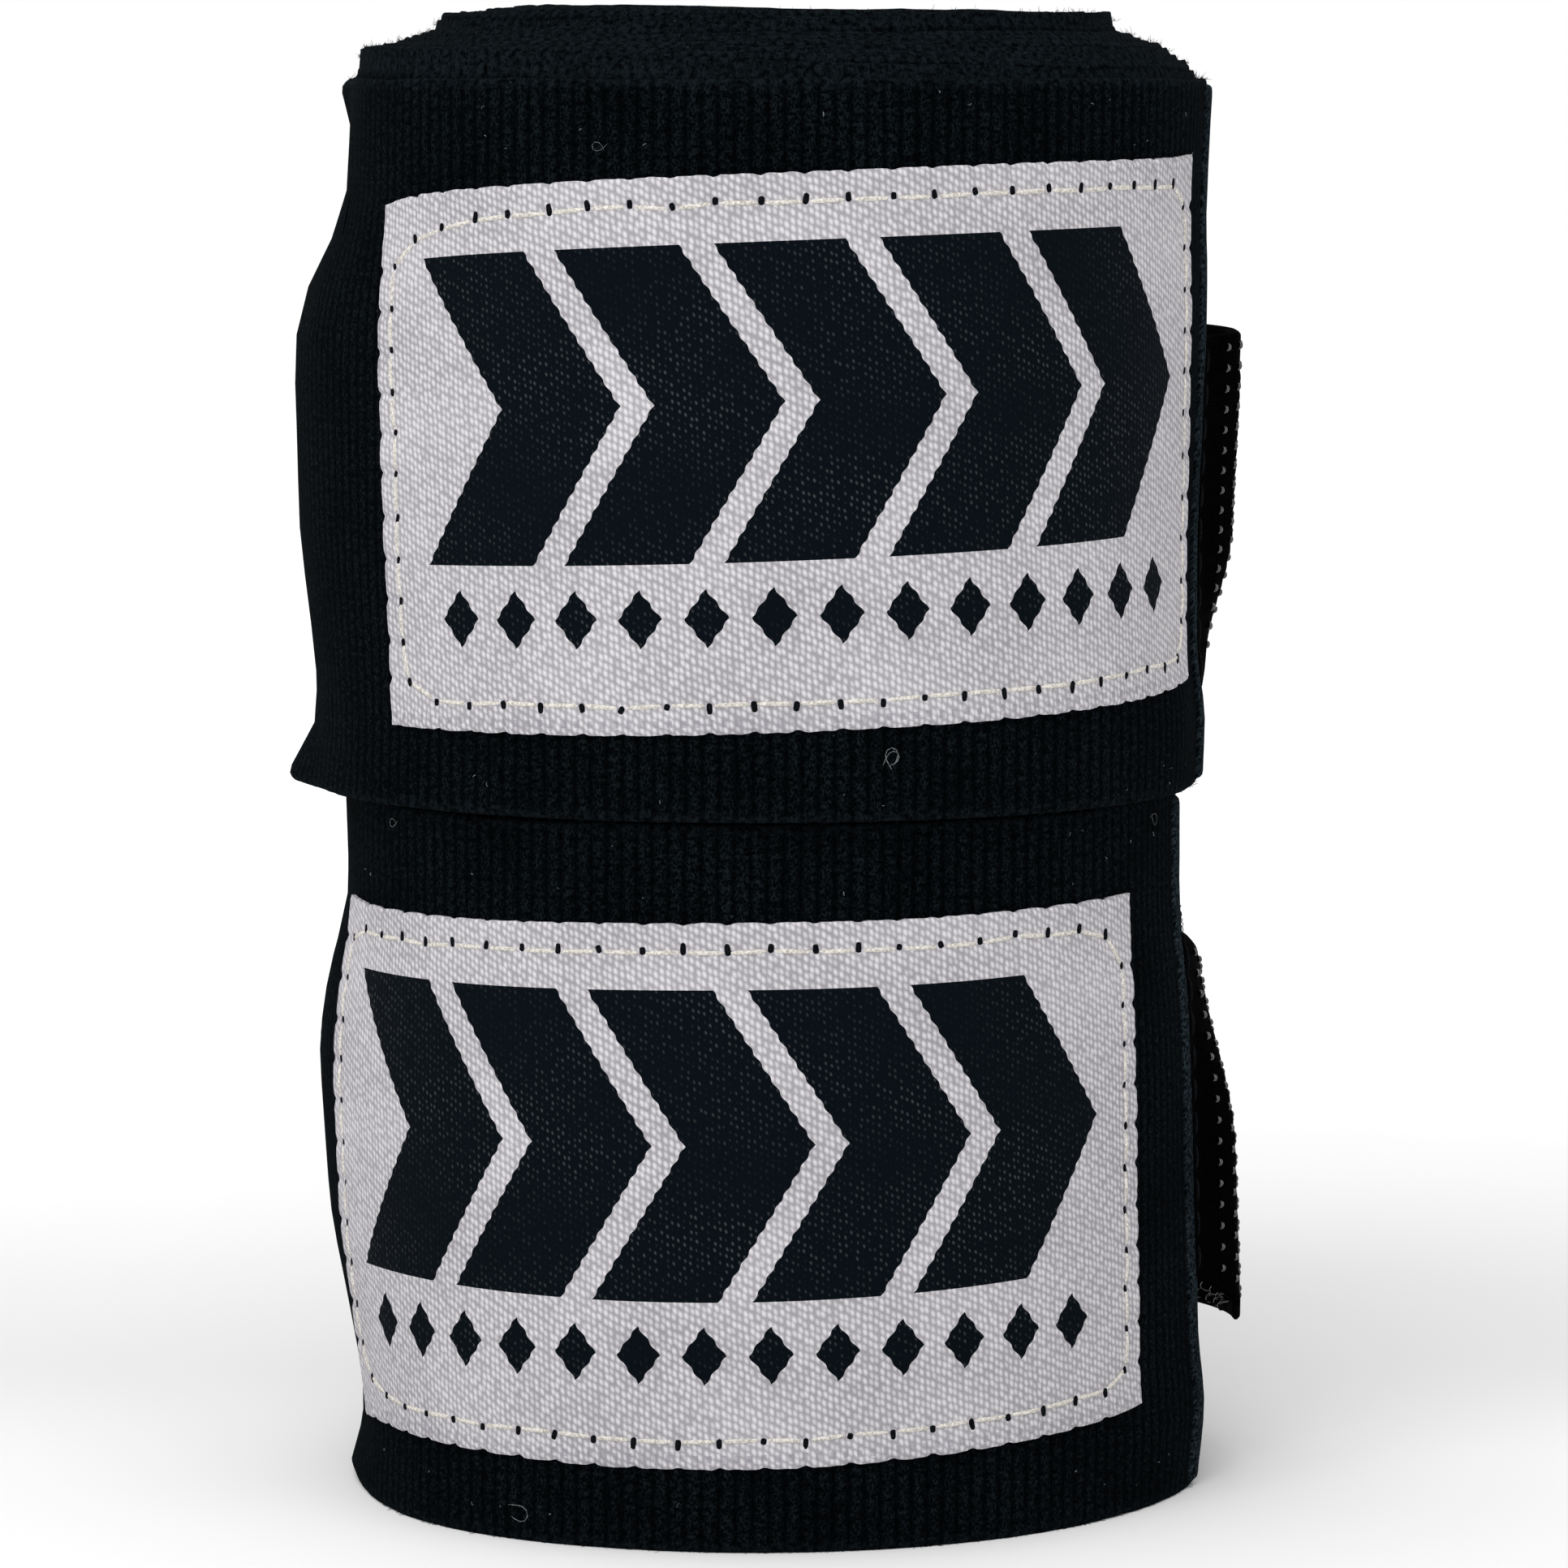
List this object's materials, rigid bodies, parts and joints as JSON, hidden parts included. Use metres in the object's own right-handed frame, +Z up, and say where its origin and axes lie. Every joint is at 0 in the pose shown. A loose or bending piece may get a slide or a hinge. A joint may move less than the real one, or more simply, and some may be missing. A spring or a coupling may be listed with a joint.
{
  "type": "hand wrap",
  "caption": "Pair of rolled woven hand wraps stacked on edge, each with a stitched woven label, a hook tab with its loop patch, and a thumb loop in the core.",
  "frame": {"origin": "on the floor, under the middle of the pair's own box", "axes": "+Z up along the rolls' common axis, labels towards -Y, hook tabs at +X"},
  "size_m": [0.0686, 0.0666, 0.1049],
  "materials": {
    "band_fabric": "matt ribbed cotton blend weave",
    "loop_tape": "matt woven tape",
    "woven_label": "satin damask weave",
    "label_thread": "spun sewing thread",
    "dark_thread": "spun sewing thread",
    "hook_tape": "ribbed nylon tape",
    "hook_monofilament": "glossy nylon monofilament",
    "soft_loop_pile": "brushed nylon pile"
  },
  "bodies": {
    "lower_roll": {"lower_band_roll": "band_fabric", "lower_thumb_loop": "loop_tape", "lower_thumb_loop_bartack": "dark_thread", "lower_loop_patch": "soft_loop_pile", "lower_loop_patch_stitching": "dark_thread"},
    "lower_tail": {"lower_band_tail": "band_fabric", "lower_end_hem": "band_fabric", "lower_woven_label": "woven_label", "lower_label_stitching": "label_thread", "lower_hook_tape_stitching": "dark_thread"},
    "lower_tab": {"lower_hook_tape": "hook_tape", "lower_hook_field": "hook_monofilament"},
    "upper_roll": {"upper_band_roll": "band_fabric", "upper_thumb_loop": "loop_tape", "upper_thumb_loop_bartack": "dark_thread", "upper_loop_patch": "soft_loop_pile", "upper_loop_patch_stitching": "dark_thread"},
    "upper_tail": {"upper_band_tail": "band_fabric", "upper_end_hem": "band_fabric", "upper_woven_label": "woven_label", "upper_label_stitching": "label_thread", "upper_hook_tape_stitching": "dark_thread"},
    "upper_tab": {"upper_hook_tape": "hook_tape", "upper_hook_field": "hook_monofilament"}
  },
  "joints": [
    {"name": "lower_tail_opens", "type": "hinge", "parent": "lower_roll", "child": "lower_tail", "pos_m": [-0.03169, -0.00803, 0.025], "axis": [0, 0, -1], "range_deg": [0, 110]},
    {"name": "lower_tab_peels", "type": "hinge", "parent": "lower_tail", "child": "lower_tab", "pos_m": [0.03046, -0.00612, 0.0275], "axis": [0, 0, -1], "range_deg": [0, 100]},
    {"name": "upper_tail_opens", "type": "hinge", "parent": "upper_roll", "child": "upper_tail", "pos_m": [-0.02853, -0.01836, 0.0753], "axis": [0, 0, -1], "range_deg": [0, 110]},
    {"name": "upper_tab_peels", "type": "hinge", "parent": "upper_tail", "child": "upper_tab", "pos_m": [0.0324, -0.00338, 0.0696], "axis": [0, 0, -1], "range_deg": [0, 100]},
    {"name": "upper_wrap_lifts_off", "type": "slide", "parent": "lower_roll", "child": "upper_roll", "axis": [0, 0, 1], "range_m": [0, 0.06]}
  ]
}
